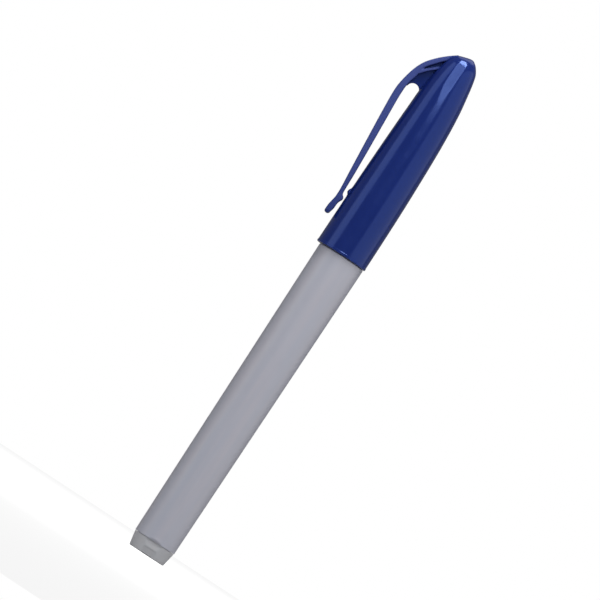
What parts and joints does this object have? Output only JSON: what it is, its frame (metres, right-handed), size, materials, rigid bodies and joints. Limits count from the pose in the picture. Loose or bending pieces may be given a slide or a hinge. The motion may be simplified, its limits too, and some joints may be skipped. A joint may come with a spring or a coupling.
{
  "type": "counterfeit detector pen",
  "caption": "Slim capped pen that marks banknotes with test fluid: tapered grey barrel, domed blue cap with a sprung pocket clip.",
  "frame": {"origin": "centre of the tail's flat end face", "axes": "+Z along the barrel from tail to cap, -X towards the pocket clip"},
  "size_m": [0.0172, 0.013, 0.137],
  "materials": {
    "barrel_plastic": "satin grey",
    "plug_plastic": "satin grey",
    "holder_plastic": "satin grey",
    "nib_fibre": "porous bonded fibre, amber",
    "reservoir_fibre": "fluid-soaked fibre bundle",
    "clear_film": "thin film",
    "tube_plastic": "drawn tube",
    "seal_plastic": "natural polyethylene",
    "cap_plastic": "glossy navy blue"
  },
  "bodies": {
    "barrel": {"barrel": "barrel_plastic", "tail_plug": "plug_plastic", "nib_holder": "holder_plastic", "nib": "nib_fibre", "ink_reservoir": "reservoir_fibre", "reservoir_film": "clear_film", "breather_tube": "tube_plastic"},
    "seal": {"inner_cap": "seal_plastic"},
    "cap": {"cap_shell": "cap_plastic"},
    "clip": {"pocket_clip": "cap_plastic"}
  },
  "joints": [
    {"name": "cap_pull", "type": "slide", "parent": "barrel", "child": "seal", "axis": [0, 0, 1], "range_m": [0, 0.045]},
    {"name": "cap_turn", "type": "hinge", "parent": "seal", "child": "cap", "pos_m": [0, 0, 0.105], "axis": [0, 0, 1], "continuous": true},
    {"name": "clip_flex", "type": "hinge", "parent": "cap", "child": "clip", "pos_m": [-0.01012, 0, 0.121], "axis": [0, 1, 0], "range_deg": [0, 6], "stiffness_Nm_per_rad": 2.4}
  ]
}
